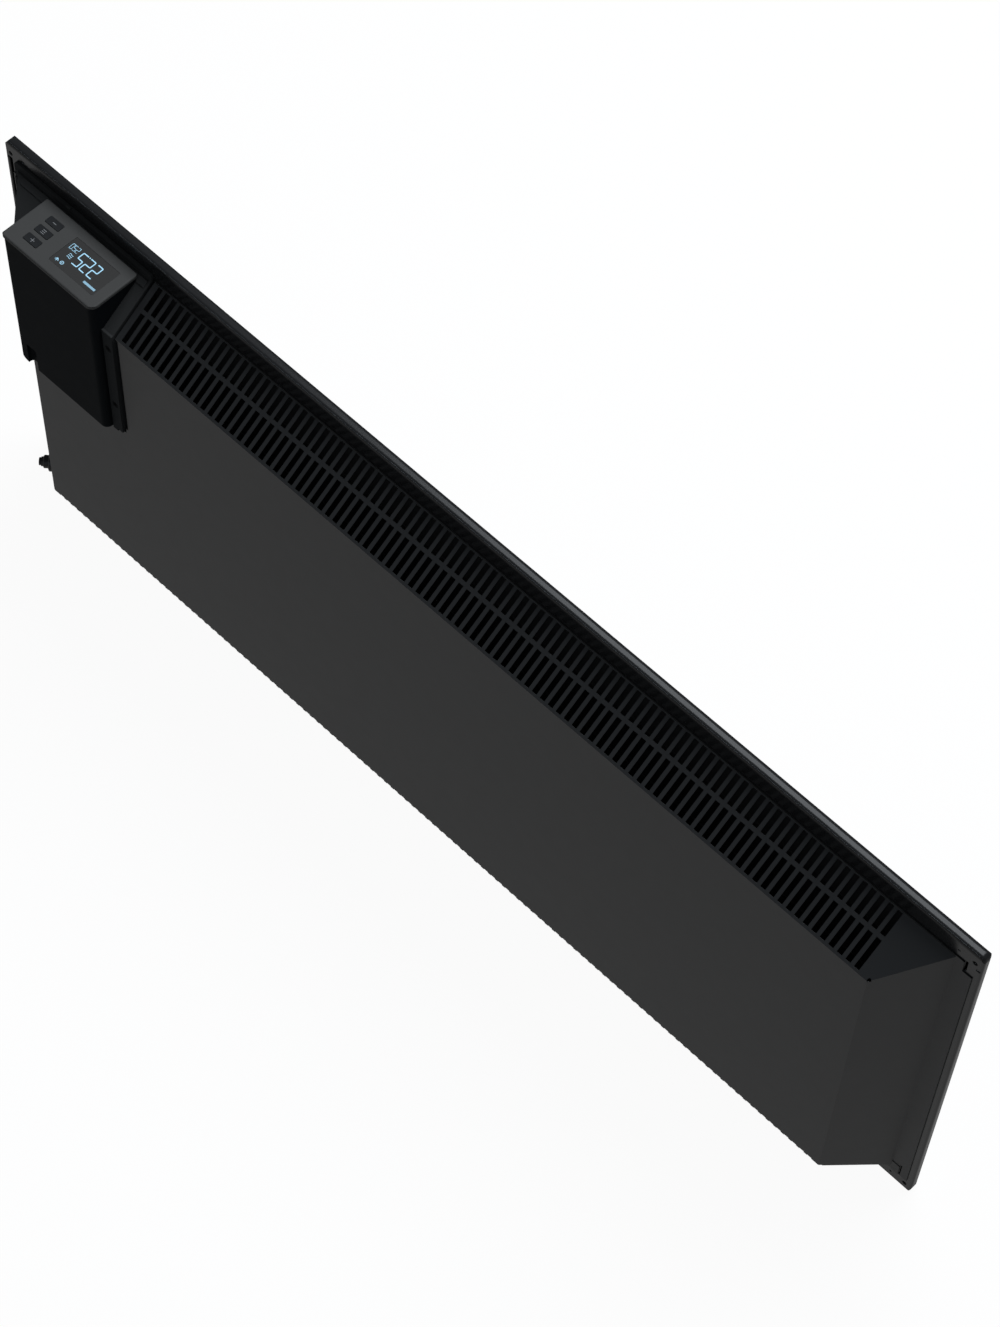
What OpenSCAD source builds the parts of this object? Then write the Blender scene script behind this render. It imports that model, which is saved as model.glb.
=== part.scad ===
// Wall panel convector heater: a slim front panel with returned edges, a folded rear casing with
// slotted grilles, and a plug-in control unit at one end. Millimetres. The origin is the centre of
// the casing's flat back. The front faces -Y, +X is to the right of someone who faces the heater.

/* [Front panel] */
// Width of the front panel
panel_w = 915; // [860:5:1200]
// Height of the front panel
panel_h = 375.4; // [372:0.2:420]
// Depth of the panel's rolled edge
panel_d = 9.5; // [8:0.5:14]
// Thickness of the panel's sheet
panel_sheet = 1; // [0.8:0.1:1.4]
// Inside radius of the front bend
front_bend_r = 2.6; // [1:0.1:3]
// Inside radius of the rear bend
rear_bend_r = 0.8; // [0.4:0.1:1]
// Radius of the panel's four corners
panel_corner_r = 5; // [3:0.1:7]
// How far the panel's middle lies above the casing's middle
panel_lift = 9.5; // [8:0.5:11]
// Width of the returned flange at the top
top_return = 22; // [20:0.5:26]
// Width of the returned flange at the bottom
bottom_return = 21; // [19:0.5:24]
// How far the casing's side flanges lap the panel's side flanges
side_lap = 9.3; // [7:0.1:11]
// Diameter of the four corner holes
corner_hole_d = 4.2; // [3:0.1:5]

/* [Rear casing] */
// Distance from each end of the casing's flat back to the panel's side
casing_side = 54; // [53:0.5:60]
// Height of the casing's flat back
casing_h = 301.2; // [290:0.2:340]
// Depth of the casing
casing_d = 40.8; // [38:0.2:48]
// Thickness of the casing's sheet
casing_sheet = 0.8; // [0.6:0.1:1.2]
// How far each end face leans outwards over the depth
end_flare = 35.3; // [32:0.1:38]
// How far the outlet face rises over the depth
top_rise = 28.8; // [27:0.1:30]
// How far the inlet face drops over the depth
bottom_drop = 7.4; // [6:0.1:9]
// Width of the flange that laps the panel at each side
lap_w = 14; // [12:0.5:15]
// Height of the flange that laps the panel at the bottom
lap_h = 5.6; // [4:0.2:7]

/* [Grilles] */
// Distance from slot to slot
slot_pitch = 7.3; // [6.5:0.1:9]
// Width of a slot
slot_w = 4.2; // [3:0.1:5]
// Length of the outlet slots in the row by the back
back_slot_l = 24.1; // [20:0.1:25]
// Length of the outlet slots in the row by the panel
front_slot_l = 19.2; // [15:0.1:19.5]
// Bar between the two rows of outlet slots
slot_bar = 3.1; // [2:0.1:3.5]
// Distance from the back fold to the first row
slot_edge = 2; // [1.2:0.1:2.4]
// Solid strip beside the last slot
slot_end = 8.7; // [6:0.1:14]
// Length of the inlet slots
inlet_slot_l = 30; // [20:1:34]
// How far an inlet slot cuts up into the flat back
inlet_notch = 1; // [0.5:0.1:1.5]

/* [Control unit] */
// Width of the control housing
unit_w = 93.2; // [88:0.2:110]
// Depth of the control housing
unit_d = 42.6; // [40:0.2:44]
// Height of the control housing without its cap
unit_h = 144.7; // [130:0.1:160]
// How far the housing stands out behind the flat back
unit_proud = 8; // [6:0.5:12]
// How far the display face stands above the back's top fold
unit_rise = 31.1; // [29:0.1:33]
// Thickness of the housing's walls
unit_wall = 2; // [1.6:0.1:2.4]
// Radius of the housing's back upright edge beside the grille
unit_corner_r = 5.5; // [4:0.5:7]
// Radius of the housing's other upright edges
unit_edge_r = 2.4; // [2.2:0.1:3]
// Radius of the housing's lower outer corner
unit_foot_r = 7.5; // [4:0.5:7.5]
// How far the housing reaches past the end of the flat back
unit_past = 2.7; // [0:0.1:3]
// Thickness of the cap that carries the display
bezel_t = 3; // [2.6:0.1:4]
// How far the cap overhangs the housing
bezel_lip = 0.9; // [0.4:0.1:1.2]
// Edge radius of the cap
bezel_edge_r = 1.3; // [0.8:0.1:1.8]
// Thickness of the mounting base's walls
base_wall = 2.2; // [1.8:0.1:2.6]

/* [Display and buttons] */
// Width of the display window
window_w = 45.5; // [38:0.1:48]
// Depth of the display window
window_d = 27.2; // [20:0.1:28]
// Distance from the cap's inner end to the window
window_inset = 8.9; // [8:0.1:12]
// Width of a button
button_w = 13.8; // [11:0.1:15]
// Depth of a button
button_d = 6.5; // [5:0.1:7]
// Distance from button to button
button_pitch = 10.4; // [10:0.1:12]
// Distance from the cap's outer end to the buttons
button_inset = 14; // [12.5:0.1:15]
// Travel of a button
button_travel = 0.6; // [0.3:0.1:0.8]
// Gap around a button
button_gap = 0.25; // [0.15:0.05:0.4]

/* [Cable gland] */
// Distance along the end face from the back fold to the gland
gland_inset = 15.9; // [14:0.1:22]
// Height of the gland above the casing's bottom fold
gland_lift = 15.1; // [14:0.1:30]
// Diameter of the gland's flange
gland_d = 15.4; // [14:0.1:18]
// Bore of the gland's seal
cable_bore_d = 5.2; // [4.6:0.1:5.8]

/* [Heating element] */
// Diameter of the heating rod
rod_d = 8; // [6.5:0.1:9]
// Distance from each end of the finned body to the end of the casing's flat back
element_end = 43.5; // [36:0.5:100]
// Height of the finned body
fin_body_h = 62; // [50:1:70]
// Depth of the finned body
fin_body_d = 27; // [22:0.5:30]
// Height of the element above the casing's bottom fold
element_lift = 46; // [42:1:60]
// Distance between the slits across the fins
fin_pitch = 24; // [16:1:40]

/* [Hidden] */
$fn = 48;

// How far a cutting tool runs past what it cuts
over = 2;
// Small gap between pieces that sit side by side
fit = 0.2;

// Width of the casing's flat back, and length of the finned body
casing_w = panel_w - 2 * casing_side;
fin_body_l = casing_w - 2 * element_end;

// Directions of the folded faces
top_angle = atan2(top_rise, casing_d);
bottom_angle = atan2(bottom_drop, casing_d);
end_angle = atan2(end_flare, casing_d);
end_l = norm([casing_d, end_flare]);

// Height of the outlet face, of the inlet face, and half width between the end faces, at depth y,
// each moved inwards by inset, square to the face
function top_z(y, inset = 0) = casing_h / 2 - y * top_rise / casing_d - inset / cos(top_angle);
function bottom_z(y, inset = 0) = -casing_h / 2 + y * bottom_drop / casing_d + inset / cos(bottom_angle);
function end_x(y, inset = 0) = casing_w / 2 - y * end_flare / casing_d - inset / cos(end_angle);

// Planes, from the back to the front
lap_y = -casing_d + casing_sheet;
flange_y = -casing_d;
shield_y = flange_y - panel_sheet;
shield_t = 0.6;
front_y = flange_y - panel_d;
inner_front_y = front_y + panel_sheet;

// Panel edges
panel_top = panel_lift + panel_h / 2;
panel_bottom = panel_lift - panel_h / 2;

// Control unit: the housing's ends, faces and floor, the cap, and the casing's cut-out
unit_x1 = casing_w / 2 + unit_past;
unit_x0 = unit_x1 - unit_w;
unit_mid_x = (unit_x0 + unit_x1) / 2;
unit_y1 = unit_proud;
unit_y0 = unit_y1 - unit_d;
cap_z = casing_h / 2 + unit_rise;
unit_z1 = cap_z - bezel_t;
unit_z0 = unit_z1 - unit_h;
cap_x0 = unit_x0 - bezel_lip;
cap_x1 = unit_x1 + bezel_lip;
cap_y0 = unit_y0 - bezel_lip;
cap_y1 = unit_y1 + bezel_lip;
cap_mid_y = (cap_y0 + cap_y1) / 2;
base_strip = 10.6;
base_gap = 1.8;
base_x0 = unit_x0 - base_strip;
cut_x = base_x0 - base_gap;

// Frame of the outlet face: x runs to -X, y runs up the slope, z points out of the face
module on_slope(lift = 0) {
    translate([0, 0, casing_h / 2])
        rotate([-top_angle, 0, 0])
            rotate([0, 0, 180])
                translate([0, 0, lift])
                    children();
}

// A profile drawn as y, z and drawn out along X between two ends
module along_x(x0, x1) {
    translate([x0, 0, 0])
        rotate([90, 0, 90])
            linear_extrude(x1 - x0)
                children();
}

// A profile drawn as x, z, from the plane y forwards by t
module plate_y(y, t) {
    translate([0, y, 0])
        rotate([90, 0, 0])
            linear_extrude(t)
                children();
}

// A block given by its two corners
module block(a, b) {
    translate(a)
        cube(b - a);
}

// A 2-D rectangle with rounded corners, one radius at the low-x side and one at the high-x side
module soft_rect(a, b, r_low, r_high) {
    translate([a.x + r_low, a.y])
        square([b.x - a.x - r_low - r_high, b.y - a.y]);
    translate([a.x, a.y + r_low])
        square([r_low, b.y - a.y - 2 * r_low]);
    translate([b.x - r_high, a.y + r_high])
        square([r_high, b.y - a.y - 2 * r_high]);
    for (y = [a.y + r_low, b.y - r_low])
        translate([a.x + r_low, y])
            circle(r_low);
    for (y = [a.y + r_high, b.y - r_high])
        translate([b.x - r_high, y])
            circle(r_high);
}

// A cylinder along X or Y from a point
module rod_x(p, r, l) {
    translate(p)
        rotate([0, 90, 0])
            cylinder(r = r, h = l);
}

module rod_y(p, r, l) {
    translate(p)
        rotate([-90, 0, 0])
            cylinder(r = r, h = l);
}

// Front panel: one sheet folded round all four edges, with a returned flange behind
flange_top_z = panel_top - top_return;
flange_bottom_z = panel_bottom + bottom_return;
corner_hole_in = 6;
pilot_in = 19;
pilot_d = 2.2;
corner_hole_top = 9.6;
corner_hole_low = 7.9;
edge_notch_l = 3.2;
edge_notch_h = 2.2;
edge_notch_drop = 15.7;
relief_w = 2.4;
relief_h = 14;
notch_drop = 10.9;
notch_out = 6.1;
notch_x = end_x(flange_y) + notch_out;
notch_z = top_z(flange_y) - notch_drop;
lap_x = end_x(flange_y) + lap_w;
flange_x = lap_x - side_lap;
lap_z0 = bottom_z(flange_y) - lap_h;
side_slot_w = 4.3;
side_slot_h = 70;
side_slot_out = 1.7;
side_slot_drop = 13.8;
side_slot_x = lap_x - side_slot_w + side_slot_out;
side_slot_z = panel_top - side_slot_drop;
corner_slit_w = 1.7;
corner_slit_h = 16.6;
corner_slit_l = 18;
corner_slit_t = 1.2;

// Small openings in the top flange beside the control unit
latch_hole_w = 4.2;
latch_hole_h = 3.4;
latch_hole_gap = 1.2;
pin_hole_d = 1.5;

module pan(inset) {
    front_r = panel_sheet + front_bend_r - inset;
    rear_r = panel_sheet + rear_bend_r - inset;
    corner_r = max(panel_corner_r - inset, panel_sheet / 2);
    y0 = front_y + inset;
    y1 = flange_y - inset;
    x1 = panel_w / 2 - inset;
    z0 = panel_bottom + inset;
    z1 = panel_top - inset;
    intersection() {
        along_x(-x1, x1)
            soft_rect([y0, z0], [y1, z1], front_r, rear_r);
        translate([0, 0, z0])
            linear_extrude(z1 - z0)
                rotate(90)
                    soft_rect([y0, -x1], [y1, x1], front_r, rear_r);
        plate_y(y1, y1 - y0)
            soft_rect([-x1, z0], [x1, z1], corner_r, corner_r);
    }
}

module panel_openings() {
    translate([-flange_x, flange_bottom_z])
        square([2 * flange_x, flange_top_z - flange_bottom_z]);
    for (s = [-1, 1]) {
        for (z = [panel_top - corner_hole_top, panel_bottom + corner_hole_low]) {
            translate([s * (panel_w / 2 - corner_hole_in), z])
                circle(d = corner_hole_d);
            translate([s * (panel_w / 2 - pilot_in), z])
                circle(d = pilot_d);
        }
        translate([s * (notch_x + relief_w / 2), notch_z + relief_h / 2])
            square([relief_w, relief_h], center = true);
        translate([s * (notch_x + corner_slit_w / 2), lap_z0 + corner_slit_h / 2])
            square([corner_slit_w, corner_slit_h], center = true);
        translate([s * (lap_x - corner_slit_l / 2), lap_z0 - corner_slit_t / 2])
            square([corner_slit_l, corner_slit_t], center = true);
        translate([s * (panel_w / 2 - edge_notch_l / 2 - rear_bend_r), panel_top - edge_notch_drop])
            square([edge_notch_l, edge_notch_h], center = true);
    }
    translate([side_slot_x, side_slot_z - side_slot_h])
        square([side_slot_w, side_slot_h]);
    translate([latch_hole_x, lip_z1 + latch_hole_gap])
        square([latch_hole_w, latch_hole_h]);
    for (x = pin_hole_x)
        translate([x, panel_top - corner_hole_top])
            circle(d = pin_hole_d);
}

module front_panel() {
    color("#1b1c1d")
        difference() {
            pan(0);
            pan(panel_sheet);
            plate_y(flange_y + over, panel_sheet + 2 * over)
                panel_openings();
        }
}

// Rear casing: hipped outer form, folded from one sheet
module hipped(inset, y_back, y_front) {
    wide = panel_w;
    tall = panel_h;
    intersection() {
        along_x(-wide, wide)
            polygon([[y_back, bottom_z(y_back, inset)], [y_back, top_z(y_back, inset)],
                     [y_front, top_z(y_front, inset)], [y_front, bottom_z(y_front, inset)]]);
        translate([0, 0, -tall])
            linear_extrude(2 * tall)
                polygon([[-end_x(y_back, inset), y_back], [end_x(y_back, inset), y_back],
                         [end_x(y_front, inset), y_front], [-end_x(y_front, inset), y_front]]);
    }
}

top_lip = 1;
lap_in = casing_sheet / 4;
lap_tab_w = 7;
lap_tab_h = 13;
lap_tab_t = 0.4;

module lap_outline() {
    difference() {
        polygon([[-lap_x, lap_z0], [lap_x, lap_z0], [lap_x, notch_z], [notch_x, notch_z],
                 [notch_x, top_z(flange_y) + top_lip], [-notch_x, top_z(flange_y) + top_lip],
                 [-notch_x, notch_z], [-lap_x, notch_z]]);
        translate([-end_x(lap_y, lap_in), bottom_z(lap_y, lap_in)])
            square([2 * end_x(lap_y, lap_in), top_z(lap_y, lap_in) - bottom_z(lap_y, lap_in)]);
        for (s = [-1, 1])
            translate([s * (notch_x + corner_slit_w / 2), lap_z0 + corner_slit_h / 2])
                square([corner_slit_w, corner_slit_h], center = true);
        translate([side_slot_x, side_slot_z - side_slot_h])
            square([side_slot_w, side_slot_h]);
    }
}

// Raised tabs beside the slits at the casing's lower corners
module lap_tabs() {
    for (s = [-1, 1])
        translate([s * (notch_x - lap_tab_w / 2), 0, lap_z0 + lap_tab_h / 2])
            cube([lap_tab_w, 2 * lap_tab_t, lap_tab_h], center = true);
}

// Outlet slots, counted from the control unit
first_slot = 4.9;
slot_x0 = cut_x - first_slot - slot_w / 2;
outlet_n = floor((slot_x0 + casing_w / 2 - slot_end - slot_w / 2) / slot_pitch) + 1;
inlet_n = 2 * floor((casing_w / 2 - slot_end / 2 - slot_w) / slot_pitch) + 1;

module outlet_slots() {
    on_slope(-over)
        linear_extrude(2 * over)
            for (i = [0 : outlet_n - 1])
                translate([i * slot_pitch - slot_x0 - slot_w / 2, slot_edge]) {
                    square([slot_w, back_slot_l]);
                    translate([0, back_slot_l + slot_bar])
                        square([slot_w, front_slot_l]);
                }
}

module inlet_slots() {
    drop = bottom_drop + over;
    translate([0, 0, -casing_h / 2 - drop])
        linear_extrude(drop + inlet_notch)
            for (i = [0 : inlet_n - 1])
                translate([(i - (inlet_n - 1) / 2) * slot_pitch - slot_w / 2, -inlet_slot_l])
                    square([slot_w, inlet_slot_l + over]);
}

// The casing's edge beside the control unit bends in and carries the base's two screws
ledge_in = 6;
ledge_lift = 6;
ledge_drop = 1.2;
ledge_bend_r = 2.8;
ledge_z0 = unit_z0 + ledge_lift;
ledge_z1 = casing_h / 2 - ledge_drop;
ledge_x1 = unit_x0 - base_wall - fit;
base_z0 = unit_z0 - base_wall;
base_step_w = 5.3;
base_step_h = 2.6;
base_screw_lift = 31.5;
base_screw_drop = 17;
base_screw_x = base_x0 + base_strip / 2 - fit;
base_screw_z = [unit_z0 + base_screw_lift, casing_h / 2 - base_screw_drop];
corner_relief_r = 1.3;
corner_relief_out = 0.4;
base_pilot_r = 1.3;

module unit_cutout() {
    step_x = base_x0 + base_step_w - fit;
    block([cut_x, lap_y, base_z0 + base_step_h - fit], [panel_w, unit_proud + over, panel_h]);
    block([step_x, lap_y, base_z0 - fit], [panel_w, unit_proud + over, panel_h]);
    block([cut_x, flange_y - over, notch_z], [panel_w, unit_proud + over, panel_h]);
}

// The bend, the web behind it and the ledge that takes the screws, drawn as x, y
module ledge_profile() {
    web_x = cut_x - casing_sheet;
    translate([cut_x - ledge_bend_r, -ledge_bend_r])
        intersection() {
            difference() {
                circle(ledge_bend_r);
                circle(ledge_bend_r - casing_sheet);
            }
            square(ledge_bend_r);
        }
    translate([web_x, -ledge_in - casing_sheet])
        square([casing_sheet, ledge_in + casing_sheet - ledge_bend_r]);
    translate([web_x, -ledge_in - casing_sheet])
        square([ledge_x1 - web_x, casing_sheet]);
}

module ledge() {
    translate([0, 0, ledge_z0])
        linear_extrude(ledge_z1 - ledge_z0)
            ledge_profile();
}

// Frame of the gland: z points out of the end face
gland_y = -gland_inset * casing_d / end_l;
gland_z = -casing_h / 2 + gland_lift;
gland_shoulder = 1.6;
gland_shank_r = gland_d / 2 - gland_shoulder;

module at_gland() {
    translate([end_x(gland_y), gland_y, gland_z])
        rotate([0, 0, end_angle])
            rotate([0, 90, 0])
                children();
}

module rear_casing() {
    color("#333435")
        difference() {
            union() {
                difference() {
                    union() {
                        difference() {
                            hipped(0, 0, flange_y);
                            hipped(casing_sheet, -casing_sheet, flange_y - over);
                        }
                        plate_y(lap_y, casing_sheet)
                            lap_outline();
                    }
                    unit_cutout();
                    block([cut_x - ledge_bend_r, -ledge_bend_r, ledge_z0], [cut_x + over, over, ledge_z1]);
                }
                ledge();
                intersection() {
                    plate_y(lap_y + lap_tab_t, casing_sheet)
                        lap_outline();
                    translate([0, lap_y, 0])
                        lap_tabs();
                }
            }
            outlet_slots();
            inlet_slots();
            for (x = [-1, 1], z = [-1, 1])
                rod_y([x * (casing_w / 2 + corner_relief_out), -2 * over,
                       z * (casing_h / 2 + corner_relief_out)], corner_relief_r, 3 * over);
            for (z = base_screw_z)
                rod_y([base_screw_x, -ledge_in - over, z], base_pilot_r, 2 * over);
            at_gland()
                translate([0, 0, -over])
                    cylinder(r = gland_shank_r + fit / 2, h = 2 * over);
        }
}

// Heat shield on the panel's returned flange, with two strips that keep it off the front sheet
shield_lap = 3.5;
shield_rise = 8.5;
shield_clear = 2;
shield_x = flange_x + shield_lap;
shield_z0 = flange_bottom_z - shield_rise;
shield_z1 = flange_top_z + shield_rise;
rib_pitch = 60;
rib_r = 1.2;

module heat_shield() {
    color("#a9acad") {
        plate_y(shield_y, shield_t)
            difference() {
                translate([-shield_x, shield_z0])
                    square([2 * shield_x, shield_z1 - shield_z0]);
                for (s = [-1, 1]) {
                    translate([s * panel_w / 2, panel_top])
                        square([panel_w - 2 * (notch_x - shield_clear),
                                2 * (panel_top - notch_z + shield_clear)], center = true);
                    translate([s * panel_w / 2, panel_bottom])
                        square([panel_w - 2 * (lap_x - corner_slit_l - shield_clear),
                                2 * (lap_z0 + corner_slit_h + shield_clear - panel_bottom)], center = true);
                }
            }
        for (z = [shield_z0 + rib_pitch : rib_pitch : shield_z1 - rib_pitch / 2])
            block([-flange_x + rib_pitch, shield_y - shield_t, z - rib_r],
                  [flange_x - rib_pitch, shield_y + rib_r / 2, z + rib_r]);
    }
}

strip_h = 14;

module spacer_strips() {
    color("#8d8c86")
        for (z = [shield_z0 + rib_pitch / 2, shield_z1 - rib_pitch / 2])
            block([-shield_x + rib_pitch, inner_front_y, z - strip_h / 2],
                  [shield_x - rib_pitch, shield_y - shield_t, z + strip_h / 2]);
}

// Finned heating element
element_off = 0.4;
element_y = element_off - casing_d / 2;
element_z = -casing_h / 2 + element_lift;
core_wall = 2.6;
core_r = rod_d / 2 + core_wall;
fin_t = 1.4;
fin_n = 5;
slit_w = 2;
rod_past = 25;
rod_l = fin_body_l + 2 * rod_past;
rod_gap = 0.05;

module fin_profile() {
    difference() {
        union() {
            circle(core_r);
            translate([-fin_t / 2, -fin_body_h / 2])
                square([fin_t, fin_body_h]);
            for (i = [0 : fin_n - 1], s = [-1, 1]) {
                h = s * (core_r + (i + 0.5) * (fin_body_h / 2 - core_r) / fin_n);
                translate([-fin_body_d / 2, h - fin_t / 2])
                    square([fin_body_d, fin_t]);
            }
            translate([-fin_body_d / 2, -fin_t / 2])
                square([fin_body_d, fin_t]);
        }
        circle(rod_d / 2 + rod_gap);
    }
}

module element_fins() {
    color("#b4b7b9")
        translate([0, element_y, element_z])
            difference() {
                along_x(-fin_body_l / 2, fin_body_l / 2)
                    fin_profile();
                for (x = [fin_pitch : fin_pitch : fin_body_l - fin_pitch / 2], s = [-1, 1])
                    translate([x - fin_body_l / 2, 0, s * (core_r + fin_body_h / 4 + over)])
                        cube([slit_w, 2 * fin_body_d, fin_body_h / 2], center = true);
            }
}

pin_r = 1.6;
pin_l = 10;

module heating_rod() {
    color("#7d7f80") {
        rod_x([-rod_l / 2, element_y, element_z], rod_d / 2, rod_l);
        rod_x([-rod_l / 2 - pin_l, element_y, element_z], pin_r, rod_l + 2 * pin_l);
    }
}

// Ceramic bushes carry the rod in two brackets that stand on the casing's back
bush_gap = 4;
bush_l = 12;
bush_x = fin_body_l / 2 + bush_gap;
bush_r = 9;
bush_neck_r = 6.5;
bracket_t = 1.2;
bracket_w = 46;
bracket_foot = 16;
bracket_x = bush_x + bush_l - bracket_t;
bracket_back_y = -casing_sheet;

module rod_end_bushes() {
    color("#d9d4c6")
        for (s = [-1, 1])
            translate([s * bush_x, element_y, element_z])
                rotate([0, s * 90, 0])
                    difference() {
                        union() {
                            cylinder(r = bush_r, h = bush_l - bracket_t - fit);
                            cylinder(r = bush_neck_r, h = bush_l + bracket_t);
                        }
                        translate([0, 0, -over])
                            cylinder(r = rod_d / 2 + rod_gap, h = bush_l + 3 * over);
                    }
}

module element_bracket() {
    difference() {
        union() {
            block([bracket_x, element_y - bracket_w / 4, element_z - bracket_w / 2],
                  [bracket_x + bracket_t, bracket_back_y, element_z + bracket_w / 2]);
            block([bracket_x - bracket_foot, bracket_back_y - bracket_t, element_z + bush_r + 2 * over],
                  [bracket_x + bracket_t, bracket_back_y, element_z + bracket_w / 2]);
            block([bracket_x - bracket_foot, bracket_back_y - bracket_t, element_z - bracket_w / 2],
                  [bracket_x + bracket_t, bracket_back_y, element_z - bush_r - 2 * over]);
        }
        rod_x([bracket_x - over, element_y, element_z], bush_neck_r + rod_gap, 2 * over + bracket_t);
    }
}

module element_bracket_left() {
    color("#9a9d9f")
        mirror([1, 0, 0])
            element_bracket();
}

module element_bracket_right() {
    color("#9a9d9f")
        element_bracket();
}

// Thermal cut-out on the casing's back above the element
cutout_aside = 33.4;
cutout_above = 18;
cutout_x = unit_x0 - cutout_aside;
cutout_z = element_z + fin_body_h / 2 + cutout_above;
cutout_r = 8;
cutout_h = 8;
cutout_flange_w = 26;
cutout_flange_h = 14;
tab_w = 4.8;
tab_t = 0.8;
tab_l = 9;
tab_dx = 4.5;
tab_back = 1;
tab_low_y = bracket_back_y - cutout_h + tab_back;

module thermal_cutout() {
    color("#2a2a2c") {
        rod_y([cutout_x, bracket_back_y - cutout_h, cutout_z], cutout_r, cutout_h - bracket_t);
        block([cutout_x - cutout_flange_w / 2, bracket_back_y - bracket_t, cutout_z - cutout_flange_h / 2],
              [cutout_x + cutout_flange_w / 2, bracket_back_y, cutout_z + cutout_flange_h / 2]);
        for (s = [-1, 1])
            block([cutout_x + s * tab_dx - tab_w / 2 + fit, tab_low_y, cutout_z + cutout_r / 2],
                  [cutout_x + s * tab_dx + tab_w / 2 - fit, tab_low_y + tab_t, cutout_z + cutout_r + tab_l]);
    }
}

// Inner wiring, each lead swept along a route of hand-set points
lead_r = 1.5;
lead_sides = 8;
lead_steps = 4;
route_y = -6;
rod_tip_x = rod_l / 2 + pin_l;
tab_y = tab_low_y + tab_t / 2;
tab_z = cutout_z + cutout_r + tab_l;
hole_off = 12;
hole_x = unit_mid_x - hole_off;
hole_y = -12;
hole_r = 8;
terminal_lift = 22;
terminal_z = unit_z0 + terminal_lift;
terminal_y = -19;
terminal_pitch = 5;

// Heights of the leads: a share of the room between the cut-out's tabs and the control unit's base
function rise(share) = tab_z + share * (base_z0 - tab_z);
turn_share = 0.08;
tab_share = 0.15;
rail_share = 0.26;
feed_share = 0.5;
drop_share = 0.63;
turn_z = rise(turn_share);
rail_z = rise(rail_share);
drop_z = rise(drop_share);

// Side steps of the leads
step_s = 5;
step_m = 9;
step_l = 20;
step_xl = 60;

// Unit vector, and a ring of points round a point of the route
function unit(v) = v / norm(v);
function mids(p) = [for (i = [0 : len(p) - 2]) (p[i] + p[i + 1]) / 2];
function bend(a, b, c, t) = (1 - t) * (1 - t) * a + 2 * t * (1 - t) * b + t * t * c;
function route(p) = let (m = mids(p)) concat([p[0]],
    [for (i = [0 : len(m) - 2], k = [0 : lead_steps]) bend(m[i], p[i + 1], m[i + 1], k / lead_steps)],
    [p[len(p) - 1]]);
function thin(q) = [for (i = [0 : len(q) - 1]) if (i == 0 || norm(q[i] - q[i - 1]) > fit) q[i]];
function heading(q, i) = unit(q[min(i + 1, len(q) - 1)] - q[max(i - 1, 0)]);
function side(q, i) = i == 0
    ? unit(cross(heading(q, 0), abs(heading(q, 0).z) > 0.9 ? [1, 0, 0] : [0, 0, 1]))
    : let (u = side(q, i - 1), h = heading(q, i)) unit(u - (u * h) * h);
function ring(q, i, r) = let (u = side(q, i), v = cross(heading(q, i), u))
    [for (k = [0 : lead_sides - 1]) let (a = 360 * k / lead_sides) q[i] + r * (cos(a) * u + sin(a) * v)];

module lead(p, r) {
    q = thin(route(p));
    n = len(q);
    points = [for (i = [0 : n - 1]) each ring(q, i, r)];
    skin = [for (i = [0 : n - 2], k = [0 : lead_sides - 1]) let (m = (k + 1) % lead_sides)
        [i * lead_sides + k, i * lead_sides + m, (i + 1) * lead_sides + m, (i + 1) * lead_sides + k]];
    polyhedron(points, concat(skin, [[for (k = [lead_sides - 1 : -1 : 0]) k]],
                              [[for (k = [0 : lead_sides - 1]) (n - 1) * lead_sides + k]]));
}

left_x = hole_x - terminal_pitch;
turn_x = rod_tip_x + step_m;
route_left = [[left_x, terminal_y, terminal_z], [left_x, terminal_y, terminal_z - step_s],
              [left_x, hole_y, unit_z0 + step_m], [left_x, hole_y, base_z0 - step_s],
              [left_x, route_y, drop_z], [hole_x - step_l, route_y, rail_z],
              [hole_x - step_xl, route_y, rail_z], [step_xl - rod_tip_x, route_y, rail_z],
              [-rod_tip_x - step_s, route_y, rail_z], [-turn_x, element_y, rail_z - 2 * step_l],
              [-turn_x, element_y, element_z + step_m], [-turn_x, element_y, element_z],
              [-rod_tip_x - fit, element_y, element_z]];
route_feed = [[hole_x, terminal_y, terminal_z], [hole_x, terminal_y, terminal_z - step_s],
              [hole_x, hole_y, unit_z0 + step_m], [hole_x, hole_y, base_z0 - step_s],
              [hole_x, hole_y, rise(feed_share)], [hole_x - step_m, tab_y, rise(tab_share)],
              [cutout_x + tab_dx + step_l, tab_y, turn_z], [cutout_x + tab_dx, tab_y, turn_z],
              [cutout_x + tab_dx, tab_y, tab_z + fit]];
route_right = [[cutout_x - tab_dx, tab_y, tab_z + fit], [cutout_x - tab_dx, tab_y, turn_z],
               [cutout_x - tab_dx, element_y + step_s, turn_z], [cutout_x + step_l, element_y, turn_z],
               [rod_tip_x - 2 * step_l, element_y, turn_z], [turn_x, element_y, turn_z - step_s],
               [turn_x, element_y, element_z + step_m], [turn_x, element_y, element_z],
               [rod_tip_x + fit, element_y, element_z]];

module element_leads() {
    color("#b9b4a8") {
        lead(route_left, lead_r);
        lead(route_feed, lead_r);
        lead(route_right, lead_r);
    }
}

clip_l = 8;
clip_h = 9;
clip_n = 5;
clip_wall = 1.6;
clip_in = 100;
clip_x0 = clip_in - rod_tip_x;
clip_x1 = hole_x - step_xl - clip_l;

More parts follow.
